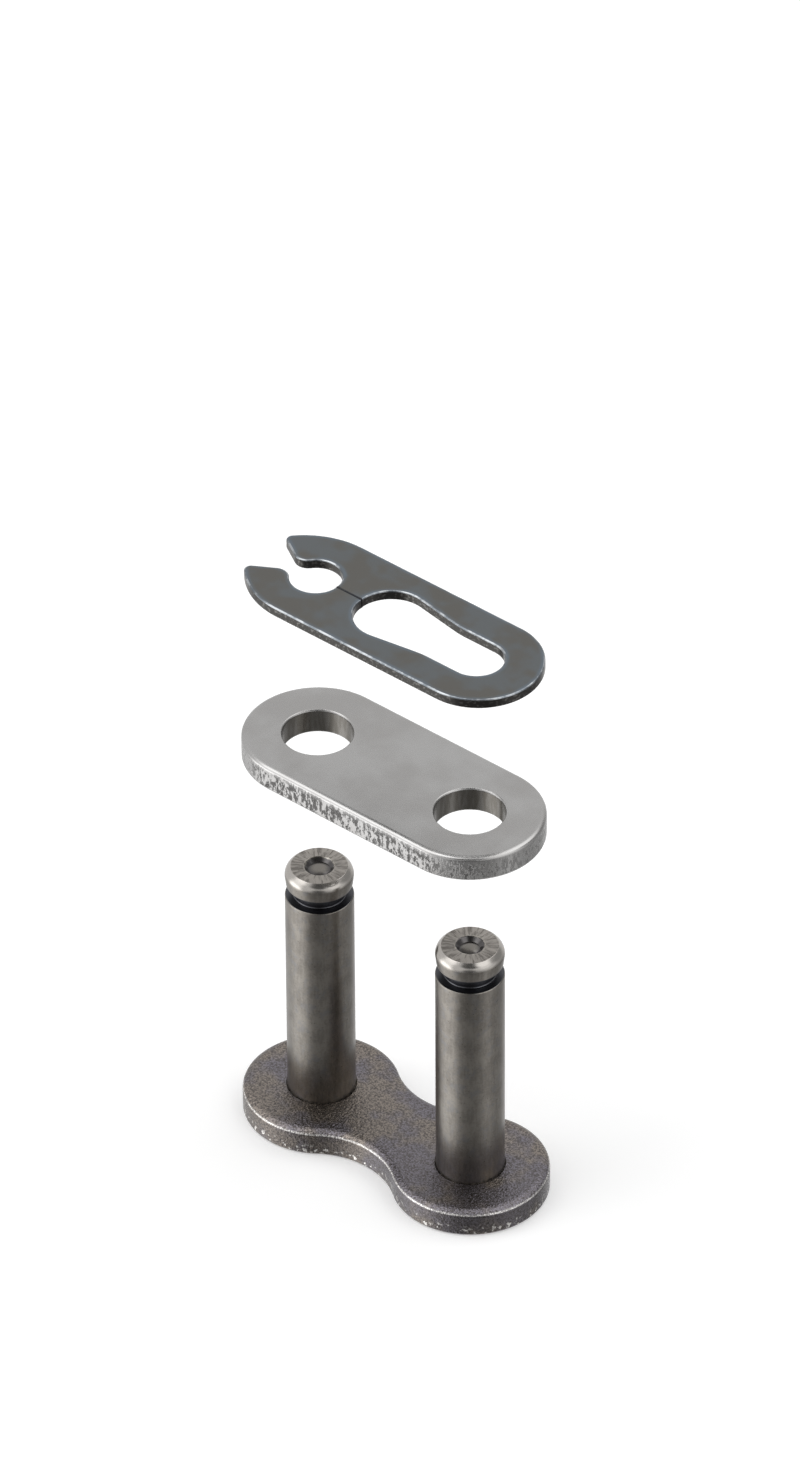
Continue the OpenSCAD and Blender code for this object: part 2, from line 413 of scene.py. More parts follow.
@dataclass
class Sheet:
    """A node tree in the making: adds nodes and wires them by socket name."""

    tree: bpy.types.NodeTree

    def put(self, socket: Socket, value: object) -> None:
        """Fills an input socket.

        Args:
            socket: The input socket.
            value: The output socket that feeds it, or a plain value.
        """
        if isinstance(value, Socket):
            self.tree.links.new(value, socket)
        else:
            socket.default_value = value

    def node(self, kind: str, inputs: Inputs | None = None, **options: object) -> bpy.types.Node:
        """Adds a node.

        Args:
            kind: The node's type.
            inputs: What each input holds: a plain value, or the output socket that feeds it.
            **options: Settings of the node itself.

        Returns:
            The new node.
        """
        made = self.tree.nodes.new(kind)
        for option, value in options.items():
            setattr(made, option, value)
        for socket, value in (inputs or {}).items():
            self.put(made.inputs[socket], value)
        return made

    def math(self, operation: str, *values: object, clamp: bool = False) -> Socket:
        """Adds a math node and returns its result."""
        made = self.node("ShaderNodeMath", dict(enumerate(values)), operation=operation, use_clamp=clamp)
        return made.outputs[0]

    def product(self, first: object, *others: object) -> Socket:
        """Multiplies values.

        Args:
            first: The first value.
            *others: The values that it is multiplied by.

        Returns:
            Their product.
        """
        for other in others:
            first = self.math("MULTIPLY", first, other)
        return first

    def rest_of(self, value: object) -> Socket:
        """Returns what a mask leaves uncovered: one less its value, never under zero."""
        return self.math("SUBTRACT", 1.0, value, clamp=True)

    def vector(self, operation: str, *values: object) -> Socket:
        """Adds a vector math node and returns its vector."""
        return self.node("ShaderNodeVectorMath", dict(enumerate(values)), operation=operation).outputs[0]

    def length(self, value: object) -> Socket:
        """Returns the length of a vector."""
        return self.node("ShaderNodeVectorMath", {0: value}, operation="LENGTH").outputs["Value"]

    def ramp(self, value: object, low: float, high: float, start: float = 0.0, end: float = 1.0) -> Socket:
        """Maps a value smoothly from low..high to start..end and returns it."""
        inputs = {"Value": value, "From Min": low, "From Max": high, "To Min": start, "To Max": end}
        return self.node("ShaderNodeMapRange", inputs, interpolation_type="SMOOTHSTEP").outputs["Result"]

    def noise(self, place: object, scale: object, detail: float = 2.0, rough: float = 0.5) -> Socket:
        """Adds a noise texture and returns its value."""
        inputs = {"Vector": place, "Scale": scale, "Detail": detail, "Roughness": rough}
        return self.node("ShaderNodeTexNoise", inputs).outputs["Fac"]

    def blend(self, mask: object, low: object, high: object) -> Socket:
        """Mixes two colours.

        Args:
            mask: How much of the second one shows, 0 to 1.
            low: The first colour, plain or a socket.
            high: The second colour.

        Returns:
            The mixed colour.
        """
        made = self.node("ShaderNodeMix", {0: mask}, data_type="RGBA")
        for socket, colour in ((made.inputs[6], low), (made.inputs[7], high)):
            self.put(socket, colour if isinstance(colour, Socket) else (*colour, 1.0))
        return made.outputs[2]

    def mix(self, mask: object, low: object, high: object) -> Socket:
        """Mixes two plain numbers by a mask and returns the result."""
        return self.node("ShaderNodeMix", {0: mask, 2: low, 3: high}, data_type="FLOAT").outputs[0]

    def beheld(self) -> Socket:
        """Returns 1 on the rays of the camera, of reflections and of what shows through glass."""
        path = self.node("ShaderNodeLightPath").outputs
        mirrored = self.math("MAXIMUM", path["Is Camera Ray"], path["Is Glossy Ray"])
        return self.math("MAXIMUM", mirrored, path["Is Transmission Ray"])


def group_sheet(name: str, inputs: dict[str, tuple[str, object]], outputs: Iterable[str]) -> Sheet:
    """Starts a shader node group.

    Args:
        name: The group's name.
        inputs: For each input its socket type and first value.
        outputs: The outputs, each a plain number.

    Returns:
        A sheet on the new group, whose input and output nodes are named In and Out.
    """
    tree = bpy.data.node_groups.new(name, "ShaderNodeTree")
    for label, (kind, value) in inputs.items():
        socket = tree.interface.new_socket(label, in_out="INPUT", socket_type=kind)
        if value is not None:
            socket.default_value = value
    for label in outputs:
        tree.interface.new_socket(label, in_out="OUTPUT", socket_type=SteelGroups.FLOAT)
    sheet = Sheet(tree)
    sheet.node("NodeGroupInput", name="In")
    sheet.node("NodeGroupOutput", name="Out")
    return sheet


class SteelGroups:
    """The node groups that the steel finishes share, each built once."""

    FLOAT = "NodeSocketFloat"
    PLACE = "NodeSocketVector"
    FLAT_LEAN: Span = (0.97, 0.995)
    WALL_LEAN: Span = (0.35, 0.1)
    RIM_START: Span = (0.2, 0.45)
    RIM_END: Span = (0.82, 0.62)
    UP_RISE: Span = (-0.05, 0.05)
    FINE_DENTS = 2.3
    FINE_SHARE = 0.8
    PIT_STRETCH = 0.45
    PIT_EDGE = 0.1

    def __init__(self) -> None:
        """Builds the groups."""
        self.faces = self._faces()
        self.mottle = self._mottle()
        self.peening = self._peening()
        self.pits = self._pits()

    def _faces(self) -> bpy.types.NodeTree:
        """Builds the masks that tell flat faces, edges, upper rims, walls and what looks up apart.

        Returns:
            The group's tree.
        """
        sheet = group_sheet("SteelFaces", {}, ("Flat", "Edge", "Rim", "Wall", "Up"))
        out = sheet.tree.nodes["Out"].inputs
        normal = sheet.node("ShaderNodeTexCoord").outputs["Normal"]
        rise = sheet.node("ShaderNodeSeparateXYZ", {0: normal}).outputs["Z"]
        lean = sheet.math("ABSOLUTE", rise)
        flat = sheet.ramp(lean, *self.FLAT_LEAN)
        wall = sheet.ramp(lean, *self.WALL_LEAN)
        sheet.put(out["Flat"], flat)
        sheet.put(out["Edge"], sheet.math("SUBTRACT", sheet.rest_of(flat), wall, clamp=True))
        rim_start, rim_end = sheet.ramp(rise, *self.RIM_START), sheet.ramp(rise, *self.RIM_END)
        sheet.put(out["Rim"], sheet.product(rim_start, rim_end))
        sheet.put(out["Wall"], wall)
        sheet.put(out["Up"], sheet.ramp(rise, *self.UP_RISE))
        return sheet.tree

    def _mottle(self) -> bpy.types.NodeTree:
        """Builds a soft cloudy value and a fine grain, both about 0.5 on average.

        Returns:
            The group's tree.
        """
        inputs = {"Place": (self.PLACE, None), "Cloud": (self.FLOAT, 0.4), "Grain": (self.FLOAT, 8.0)}
        sheet = group_sheet("SteelMottle", inputs, ("Clouds", "Grains"))
        given, out = sheet.tree.nodes["In"].outputs, sheet.tree.nodes["Out"].inputs
        sheet.put(out["Clouds"], sheet.noise(given["Place"], given["Cloud"], 3.0, 0.55))
        sheet.put(out["Grains"], sheet.noise(given["Place"], given["Grain"], 2.0, 0.6))
        return sheet.tree

    def _peening(self) -> bpy.types.NodeTree:
        """Builds the height of a shot-peened skin: overlapping dents of two sizes.

        Returns:
            The group's tree.
        """
        inputs = {"Place": (self.PLACE, None), "Dents": (self.FLOAT, 6.0)}
        sheet = group_sheet("ShotPeening", inputs, ("Height",))
        given, out = sheet.tree.nodes["In"].outputs, sheet.tree.nodes["Out"].inputs
        dents = {"Vector": given["Place"], "Scale": given["Dents"]}
        coarse = sheet.node("ShaderNodeTexVoronoi", dents, feature="SMOOTH_F1").outputs["Distance"]
        fine = sheet.noise(given["Place"], sheet.math("MULTIPLY", given["Dents"], self.FINE_DENTS), 2.0, 0.6)
        sheet.put(out["Height"], sheet.math("MULTIPLY_ADD", fine, self.FINE_SHARE, coarse))
        return sheet.tree

    def _pits(self) -> bpy.types.NodeTree:
        """Builds the torn pits of a blanked wall, taller than they are wide.

        Returns:
            The group's tree.
        """
        inputs = {"Place": (self.PLACE, None), "Size": (self.FLOAT, 3.2), "Cover": (self.FLOAT, 0.5)}
        sheet = group_sheet("BlankingPits", inputs, ("Pits",))
        given, out = sheet.tree.nodes["In"].outputs, sheet.tree.nodes["Out"].inputs
        tall = sheet.vector("MULTIPLY", given["Place"], (1.0, 1.0, self.PIT_STRETCH))
        torn = sheet.noise(tall, given["Size"], 4.0, 0.62)
        edge = sheet.math("SUBTRACT", 1.0, given["Cover"])
        depth = sheet.math("DIVIDE", sheet.math("SUBTRACT", torn, edge), self.PIT_EDGE)
        sheet.put(out["Pits"], sheet.math("MAXIMUM", depth, 0.0, clamp=True))
        return sheet.tree


@dataclass
class SteelSheet(Sheet):
    """A steel material's node tree, with the places and masks that every finish starts from.

    Attributes:
        groups: The node groups of the steels.
    """

    groups: SteelGroups

    def __post_init__(self) -> None:
        """Adds the place in millimetres and the face masks."""
        spot = self.node("ShaderNodeTexCoord").outputs["Object"]
        self.place = self.vector("MULTIPLY", spot, (1.0 / MM,) * 3)
        axes = self.node("ShaderNodeSeparateXYZ", {0: self.place}).outputs
        self.x, self.y, self.z = axes["X"], axes["Y"], axes["Z"]
        masks = self.group(self.groups.faces, {})
        self.flat, self.edge, self.rim, self.wall, self.up = masks.outputs

    def group(self, tree: bpy.types.NodeTree, inputs: dict[str, object]) -> bpy.types.Node:
        """Places a node group with its own values."""
        return self.node("ShaderNodeGroup", inputs, node_tree=tree)

    def mottle(self, cloud: float, grain: float) -> tuple[Socket, Socket]:
        """Returns soft clouds and a fine grain, each of its own fineness per millimetre."""
        made = self.group(self.groups.mottle, {"Place": self.place, "Cloud": cloud, "Grain": grain})
        return made.outputs["Clouds"], made.outputs["Grains"]

    def stretched(self, along: float) -> Socket:
        """Returns the place with its height scaled, which draws a texture out along Z."""
        return self.vector("MULTIPLY", self.place, (1.0, 1.0, along))

    def bump(self, height: object, depth: float, strength: float, under: Socket | None = None) -> Socket:
        """Adds a bump and returns its normal.

        Args:
            height: The height, 0 to 1.
            depth: What a height of 1 stands for, in metres.
            strength: How much of it shows.
            under: The normal of a bump that this one lies on, or None.

        Returns:
            The bumped normal.
        """
        inputs = {"Height": height, "Distance": depth, "Strength": strength}
        if under is not None:
            inputs["Normal"] = under
        return self.node("ShaderNodeBump", inputs).outputs["Normal"]

    def finish(self, colour: object, rough: object, normal: Socket) -> None:
        """Ends the material in a metal surface.

        Args:
            colour: Its base colour.
            rough: Its roughness.
            normal: Its bumped normal.
        """
        inputs = {"Base Color": colour, "Roughness": rough, "Metallic": 1.0, "Normal": normal}
        surface = self.node("ShaderNodeBsdfPrincipled", inputs)
        self.node("ShaderNodeOutputMaterial", {"Surface": surface.outputs[0]})


def steel_material(name: str, groups: SteelGroups) -> tuple[bpy.types.Material, SteelSheet]:
    """Starts a steel material.

    Args:
        name: The material's name.
        groups: The node groups of the steels.

    Returns:
        The material and the sheet to build it on.
    """
    made = bpy.data.materials.new(name)
    made.use_nodes = True
    made.node_tree.nodes.clear()
    return made, SteelSheet(made.node_tree, groups)


@dataclass(frozen=True)
class PeenedPlateFinish:
    """Dark shot-peened steel of the pin plate, with a painted highlight along its upper rim, partly wear on
    the peaks, nicked along the foot of its wall.

    A fineness counts features per millimetre, and a span is the stretch of a
    noise over which a mask fades in.
    """

    dark: Colour = (0.098, 0.088, 0.085)
    light: Colour = (0.275, 0.24, 0.212)
    violet: Colour = (0.208, 0.194, 0.22)
    # Near-white painted highlight for the upper rim, partly wear on the peening's peaks.
    rim: Colour = (0.92, 0.90, 0.87)
    nick: Colour = (0.8, 0.78, 0.75)
    cloud: float = 0.3
    grain: float = 7.5
    tint_span: Span = (0.44, 0.58)
    grain_span: Span = (0.32, 0.64)
    peak: float = 11.0
    peak_span: Span = (0.46, 0.6)
    least_wear_and_glint: float = 0.3
    wall_shade: float = 0.3
    tear: float = 3.4
    nick_span: Span = (0.59, 0.64)
    nick_top: float = 1.0
    dents: float = 7.5
    dent_depth: float = 0.026 * MM
    roughness: float = 0.25
    swing: float = 0.06

    def nicks(self, sheet: SteelSheet) -> Socket:
        """Returns the mask of the nicks along the foot of the wall."""
        torn = sheet.ramp(sheet.noise(sheet.place, self.tear), *self.nick_span)
        return sheet.product(torn, sheet.ramp(sheet.z, self.nick_top, self.nick_top / 3), sheet.wall)

    def material(self, groups: SteelGroups) -> bpy.types.Material:
        """Builds the finish.

        Args:
            groups: The node groups of the steels.

        Returns:
            The new material.
        """
        made, sheet = steel_material("peened_steel", groups)
        clouds, grains = sheet.mottle(self.cloud, self.grain)
        tint = sheet.blend(sheet.ramp(clouds, *self.tint_span), self.light, self.violet)
        colour = sheet.blend(sheet.ramp(grains, *self.grain_span), self.dark, tint)
        # Painted highlight: the upper rim is lightened towards near white, broken up by the peaks of the
        # peening.
        peaks = sheet.ramp(sheet.noise(sheet.place, self.peak, 2.0, 0.6), *self.peak_span, self.least_wear_and_glint)
        colour = sheet.blend(sheet.product(sheet.rim, peaks), colour, self.rim)
        colour = sheet.blend(sheet.product(sheet.wall, self.wall_shade), colour, self.dark)
        colour = sheet.blend(self.nicks(sheet), colour, self.nick)
        peening = sheet.group(groups.peening, {"Place": sheet.place, "Dents": self.dents})
        normal = sheet.bump(peening.outputs["Height"], self.dent_depth, 1.0)
        rough = sheet.ramp(grains, 0.3, 0.7, self.roughness - self.swing, self.roughness + self.swing)
        sheet.finish(colour, rough, normal)
        return made


@dataclass(frozen=True)
class PolishedPinFinish:
    """Polished warm grey steel of the pins: drawn along the shaft, scratched round the dimple.

    Attributes:
        groove_z: Height of the clip groove's floor, in millimetres.
        head_z: Height of the head's underside, in millimetres.
        rim_r: Radius of the dimple's rim, in millimetres.
    """

    groove_z: float
    head_z: float
    rim_r: float = 0.93
    dark: Colour = (0.208, 0.192, 0.172)
    light: Colour = (0.292, 0.272, 0.245)
    bloom: Colour = (0.225, 0.222, 0.225)
    speck: Colour = (0.06, 0.055, 0.05)
    groove_shade: Colour = (0.07, 0.075, 0.09)
    face: Colour = (0.38, 0.354, 0.325)
    burnish_and_highlight: Colour = (0.49, 0.465, 0.435)
    dimple: Colour = (0.11, 0.105, 0.105)
    floor: Colour = (0.235, 0.22, 0.2)
    burr: Colour = (0.52, 0.49, 0.44)
    scratch: Colour = (0.11, 0.10, 0.09)
    cloud: float = 0.8
    grain: float = 7.0
    streak: float = 5.5
    streak_stretch: float = 0.16
    cloud_share: float = 0.45
    streak_share: float = 0.3
    grain_share: float = 0.25
    tone_span: Span = (0.38, 0.62)
    bloom_span: Span = (0.5, 0.68)
    bloom_share: float = 0.6
    speck_span: Span = (0.66, 0.74)
    speck_share: float = 0.5
    groove_shade_share: float = 0.85
    burnish_and_highlight_span: Span = (0.4, 0.6)
    ray: float = 7.0
    ray_drift: float = 0.12
    ray_span: Span = (0.45, 0.6)
    scratch_share: float = 0.7
    rag: float = 2.2
    rag_w: float = 0.35
    rim_fade: float = 0.03
    burr_off: float = 0.07
    burr_span: Span = (0.06, 0.02)
    burr_share: float = 0.7
    skin: float = 8.0
    skin_depth: float = 0.0015 * MM
    scratch_depth: float = 0.02 * MM
    roughness: float = 0.32
    edge_roughness: float = 0.2
    swing: float = 0.03

    def shaft(self, sheet: SteelSheet) -> Socket:
        """Draws the shaft: soft clouds, fine streaks along the pin and dark specks.

        Args:
            sheet: The material's sheet.

        Returns:
            Its colour.
        """
        clouds, grains = sheet.mottle(self.cloud, self.grain)
        streaks = sheet.noise(sheet.stretched(self.streak_stretch), self.streak, 3.0, 0.6)
        tone = sheet.math("MULTIPLY", clouds, self.cloud_share)
        tone = sheet.math("MULTIPLY_ADD", streaks, self.streak_share, tone)
        tone = sheet.math("MULTIPLY_ADD", grains, self.grain_share, tone)
        colour = sheet.blend(sheet.ramp(tone, *self.tone_span), self.dark, self.light)
        bloom = sheet.ramp(sheet.noise(sheet.place, 1.7, 3.0, 0.65), *self.bloom_span)
        colour = sheet.blend(sheet.product(bloom, self.bloom_share), colour, self.bloom)
        specks = sheet.ramp(sheet.noise(sheet.place, 6.5), *self.speck_span)
        return sheet.blend(sheet.product(specks, self.speck_share), colour, self.speck)

    def head(self, sheet: SteelSheet, colour: Socket) -> tuple[Socket, Socket]:
        """Adds the head's shoulder, burnished and lightened with a painted highlight, and its scratched
        face, and the dimple in it.

        Args:
            sheet: The material's sheet.
            colour: The colour of the shaft.

        Returns:
            The colour with the head's marks, and how scratched the surface is, 0 to 1.
        """
        level = sheet.stretched(0.0)
        radius = sheet.length(level)
        top = sheet.ramp(sheet.z, self.head_z, self.head_z + 0.3)
        # Painted highlight: the shoulder round the head is lightened, partly as real burnish.
        outside = sheet.ramp(radius, *(self.rim_r + off for off in self.burnish_and_highlight_span))
        colour = sheet.blend(sheet.product(sheet.edge, outside, top), colour, self.burnish_and_highlight)
        face = sheet.product(sheet.flat, top, sheet.ramp(radius, self.rim_r, self.rim_r + 0.1))
        colour = sheet.blend(face, colour, self.face)
        spoke = sheet.vector("NORMALIZE", level)
        fan = sheet.vector("MULTIPLY_ADD", level, (self.ray_drift,) * 3, spoke)
        rays = sheet.ramp(sheet.noise(fan, self.ray, 4.0, 0.75), *self.ray_span)
        scratched = sheet.product(rays, face)
        colour = sheet.blend(sheet.product(scratched, self.scratch_share), colour, self.scratch)
        return self.sunk(sheet, colour, radius, top), scratched

    def sunk(self, sheet: SteelSheet, colour: Socket, radius: Socket, top: Socket) -> Socket:
        """Adds the dimple darkened with painted shade, darkest inside its ragged rim and paler towards its
        floor, and the burr round it.

        Args:
            sheet: The material's sheet.
            colour: The colour of the head.
            radius: The distance from the pin's axis.
            top: The mask of the head.

        Returns:
            The colour with the dimple.
        """
        torn = sheet.noise(sheet.place, self.rag, 3.0, 0.7)
        ragged = sheet.math("MULTIPLY_ADD", sheet.math("SUBTRACT", torn, 0.5), self.rag_w, radius)
        inside = sheet.ramp(radius, self.rim_r * 0.8, self.rim_r * 0.3)
        hollow = sheet.ramp(ragged, self.rim_r + self.rim_fade, self.rim_r - self.rim_fade)
        # Painted shade: the dimple's hollow is darker than the face, darkest by its wall.
        dimple = sheet.blend(inside, self.dimple, self.floor)
        colour = sheet.blend(sheet.product(hollow, top), colour, dimple)
        off = sheet.math("ABSOLUTE", sheet.math("SUBTRACT", ragged, self.rim_r + self.burr_off))
        burr = sheet.product(sheet.ramp(off, *self.burr_span), sheet.ramp(torn, 0.42, 0.6), top)
        return sheet.blend(sheet.product(burr, self.burr_share), colour, self.burr)

    def material(self, groups: SteelGroups) -> bpy.types.Material:
        """Builds the finish.

        Args:
            groups: The node groups of the steels.

        Returns:
            The new material.
        """
        made, sheet = steel_material("polished_steel", groups)
        colour, scratched = self.head(sheet, self.shaft(sheet))
        # Painted shade: the clip groove under the head is darkened towards bluish black.
        over = sheet.ramp(sheet.z, self.groove_z - 0.02, self.groove_z)
        groove = sheet.product(over, sheet.ramp(sheet.z, self.head_z + 0.05, self.head_z))
        colour = sheet.blend(sheet.product(groove, self.groove_shade_share), colour, self.groove_shade)
        grains = sheet.noise(sheet.place, self.skin, 2.0, 0.6)
        normal = sheet.bump(grains, self.skin_depth, 0.6)
        normal = sheet.bump(sheet.rest_of(scratched), self.scratch_depth, 0.7, normal)
        rough = sheet.ramp(sheet.edge, 0.0, 1.0, self.roughness, self.edge_roughness)
        rough = sheet.math("ADD", rough, sheet.ramp(grains, 0.3, 0.7, -self.swing, self.swing))
        sheet.finish(colour, rough, normal)
        return made


@dataclass(frozen=True)
class BrightPlateFinish:
    """Bright tumbled steel of the cover plate, torn along its straight blanked walls.

    Attributes:
        half_pitch: Distance from the middle to each hole's axis, in millimetres.
        bore_r: Radius of each hole, in millimetres.
        top_z: Height of the upper face, in millimetres.
    """

    half_pitch: float
    bore_r: float
    top_z: float
    dark: Colour = (0.415, 0.407, 0.40)
    light: Colour = (0.47, 0.465, 0.46)
    pit: Colour = (0.045, 0.042, 0.04)
    bore: Colour = (0.15, 0.14, 0.125)
    cloud: float = 0.25
    grain: float = 8.0
    bore_span: Span = (0.3, 0.1)
    pit_size: float = 5.2
    pit_cover: float = 0.52
    pit_share: float = 0.85
    pit_depth: float = 0.06 * MM
    end_run: float = 2.6
    end_pits: float = 0.4
    shear_span: Span = (0.25, 0.6)
    shear_pits: float = 0.35
    drawn: float = 3.0
    drawn_stretch: float = 0.2
    skin_depth: float = 0.0006 * MM
    roughness: float = 0.27
    swing: float = 0.02

    def bores(self, sheet: SteelSheet) -> Socket:
        """Draws the mask of the two holes' walls.

        Args:
            sheet: The material's sheet.

        Returns:
            The mask.
        """
        level = sheet.vector("ABSOLUTE", sheet.stretched(0.0))
        radius = sheet.length(sheet.vector("SUBTRACT", level, (self.half_pitch, 0.0, 0.0)))
        near = sheet.ramp(radius, *(self.bore_r + off for off in self.bore_span))
        return sheet.product(near, sheet.wall)

    def tearing(self, sheet: SteelSheet) -> Socket:
        """Draws the pits of the outer wall: dense along the straight sides, sparse round the ends.

        Args:
            sheet: The material's sheet.

        Returns:
            The mask of the pits.
        """
        inputs = {"Place": sheet.place, "Size": self.pit_size, "Cover": self.pit_cover}
        pits = sheet.group(sheet.groups.pits, inputs).outputs["Pits"]
        along = sheet.math("ABSOLUTE", sheet.x)
        dense = sheet.ramp(along, self.half_pitch + self.end_run, self.half_pitch, self.end_pits)
        low = sheet.ramp(sheet.z, *(self.top_z - depth for depth in self.shear_span), self.shear_pits)
        return sheet.product(pits, sheet.wall, dense, low)

    def material(self, groups: SteelGroups) -> bpy.types.Material:
        """Builds the finish.

        Args:
            groups: The node groups of the steels.

        Returns:
            The new material.
        """
        made, sheet = steel_material("bright_steel", groups)
        clouds, grains = sheet.mottle(self.cloud, self.grain)
        colour = sheet.blend(sheet.ramp(clouds, 0.35, 0.65), self.dark, self.light)
        bores = self.bores(sheet)
        torn = sheet.product(self.tearing(sheet), sheet.rest_of(bores))
        colour = sheet.blend(sheet.product(torn, self.pit_share), colour, self.pit)
        drawn = sheet.noise(sheet.stretched(self.drawn_stretch), self.drawn, 3.0, 0.6)
        colour = sheet.blend(sheet.product(bores, sheet.ramp(drawn, 0.35, 0.6, 0.8)), colour, self.bore)
        normal = sheet.bump(sheet.rest_of(torn), self.pit_depth, 0.7)
        normal = sheet.bump(grains, self.skin_depth, 0.7, normal)
        rough = sheet.ramp(grains, 0.3, 0.7, self.roughness - self.swing, self.roughness + self.swing)
        sheet.finish(colour, rough, normal)
        return made


@dataclass(frozen=True)
class TemperedClipFinish:
    """Tempered spring steel of the clip: slate brown inside the rims, blue along them, dark walls, painted
    highlight on the upper edges, painted shade on the lower edges and along the slit.
    """

    brown: Colour = (0.150, 0.146, 0.136)
    slate: Colour = (0.155, 0.166, 0.172)
    blue: Colour = (0.170, 0.200, 0.232)
    wall: Colour = (0.055, 0.053, 0.05)
    fleck: Colour = (0.16, 0.155, 0.148)
    worn_and_highlight: Colour = (0.17, 0.19, 0.21)
    bare_and_highlight: Colour = (0.44, 0.46, 0.48)
    slit_shade: Colour = (0.012, 0.012, 0.014)
    cloud: float = 0.3
    grain: float = 8.0
    tint_span: Span = (0.42, 0.58)
    rub: float = 0.9
    rub_span: Span = (0.4, 0.62)
    fleck_span: Span = (0.52, 0.68)
    seam_end: float = -2.0
    seam_span: Span = (0.1, 0.05)
    slit_shade_share: float = 0.9
    skin_depth: float = 0.002 * MM
    roughness: float = 0.23
    swing: float = 0.04

    def sides(self, sheet: SteelSheet, colour: Socket) -> Socket:
        """Adds the upper edges, worn and lightened with a painted highlight, the dark walls, and the lower
        edges darkened with painted shade.

        Args:
            sheet: The material's sheet.
            colour: The colour of the flat faces.

        Returns:
            The colour with the edges and walls.
        """
        # Painted highlight: the upper edges turn pale blue-white, partly real wear.
        rubbed_and_glinting = sheet.ramp(sheet.noise(sheet.place, self.rub, 3.0, 0.65), *self.rub_span)
        colour = sheet.blend(sheet.edge, colour, sheet.blend(rubbed_and_glinting, self.worn_and_highlight, self.bare_and_highlight))
        flecks = sheet.ramp(sheet.noise(sheet.place, 5.0), *self.fleck_span)
        # Painted shade: the downward-facing lower edges take the walls' dark colour.
        below = sheet.rest_of(sheet.math("MAXIMUM", sheet.up, sheet.flat))
        side = sheet.math("MAXIMUM", sheet.wall, below)
        return sheet.blend(side, colour, sheet.blend(flecks, self.wall, self.fleck))

    def material(self, groups: SteelGroups) -> bpy.types.Material:
        """Builds the finish.

        Args:
            groups: The node groups of the steels.

        Returns:
            The new material.
        """
        made, sheet = steel_material("tempered_steel", groups)
        clouds, grains = sheet.mottle(self.cloud, self.grain)
        colour = sheet.blend(sheet.ramp(clouds, *self.tint_span), self.slate, self.brown)
        depth = sheet.node("ShaderNodeAttribute", attribute_name=RIM_DEPTH).outputs["Fac"]
        rim = sheet.product(sheet.ramp(depth, 0.9, 0.0), sheet.ramp(clouds, 0.6, 0.45, 0.4, 0.9))
        colour = self.sides(sheet, sheet.blend(rim, colour, self.blue))
        # Painted shade: a near-black line along the slit between the arms.
        off = sheet.ramp(sheet.math("ABSOLUTE", sheet.y), *self.seam_span)
        seam = sheet.product(off, sheet.ramp(sheet.x, self.seam_end, self.seam_end - 0.2))
        colour = sheet.blend(sheet.product(seam, self.slit_shade_share), colour, self.slit_shade)
        normal = sheet.bump(grains, self.skin_depth, 0.6)
        rough = sheet.ramp(grains, 0.3, 0.7, self.roughness - self.swing, self.roughness + self.swing)
        sheet.finish(colour, rough, normal)
        return made


@dataclass
class PinPlate:
    """The waisted plate that holds the two pins.

    Attributes:
        half_pitch: Distance from the middle to each pin's axis.
        end_r: Radius of each round end.
        thickness: The plate's thickness.
    """

    half_pitch: float
    end_r: float
    thickness: float
    waist_w: float = 6.2 * MM
    roll_r: float = 0.5 * MM
    roll_turn_deg: float = 50.0
    foot_r: float = 0.2 * MM
    seat_mouth_r: float = 2.24 * MM
    seat_taper: float = 0.04 * MM
    seat_chamfer: float = 0.1 * MM

    def outline(self) -> Outline:
        """Draws two round ends that a hollow waist joins.

        Returns:
            The outer outline.
        """
        waist = self.waist_w / 2
        hollow_r = (self.half_pitch**2 + waist**2 - self.end_r**2) / (2 * (self.end_r - waist))
        hollow_y = waist + hollow_r
        turn = math.degrees(math.atan2(hollow_y, self.half_pitch))
        right, left = Vector((self.half_pitch, 0.0)), Vector((-self.half_pitch, 0.0))
        outline = Outline().arc(right, self.end_r, turn - 180.0, 180.0 - turn)
        outline.arc(Vector((0.0, hollow_y)), hollow_r, -turn, turn - 180.0)
        outline.arc(left, self.end_r, turn, 360.0 - turn)
        return outline.arc(Vector((0.0, -hollow_y)), hollow_r, 180.0 - turn, turn).closed()

    def seat_wall(self) -> list[Level]:
        """Lists the rings of a pin seat, with its taper and its chamfered mouth.

        Returns:
            The rings from the lowest to the highest.
        """
        mouth_z = self.thickness - self.seat_chamfer
        return [
            Level(-self.seat_taper, 0.0, 0.0),
            Level(0.0, mouth_z, 0.0),
            Level(0.0, mouth_z, 45.0),
            Level(self.seat_chamfer, self.thickness, 45.0),
        ]

    def mesh(self) -> bpy.types.Object:
        """Builds the plate.

        Returns:
            The new mesh object.
        """
        axes = [Vector((side.value * self.half_pitch, 0.0)) for side in Side]
        seats = [circle_hole(axis, self.seat_mouth_r) for axis in axes]
        tight = Bend(self.roll_r / 2, 0.0, self.roll_turn_deg)
        roll = (tight, Bend(self.roll_r * 1.6, self.roll_turn_deg, 90.0))
        walls = [rounded_wall(0.0, self.thickness, plain_bend(self.foot_r, -90.0), roll)]
        walls += [self.seat_wall() for _ in seats]
        return slab("peened_pin_plate", [self.outline(), *seats], walls)

    def dress(self, made: bpy.types.Object, finish: PeenedPlateFinish, groups: SteelGroups) -> None:
        """Gives the plate its finish and its place in the model.

        Args:
            made: The plate's mesh.
            finish: Its finish.
            groups: The node groups of the steels.
        """
        made.data.materials.append(finish.material(groups))
        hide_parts("pin_plate")
        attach(made, "pin_link")


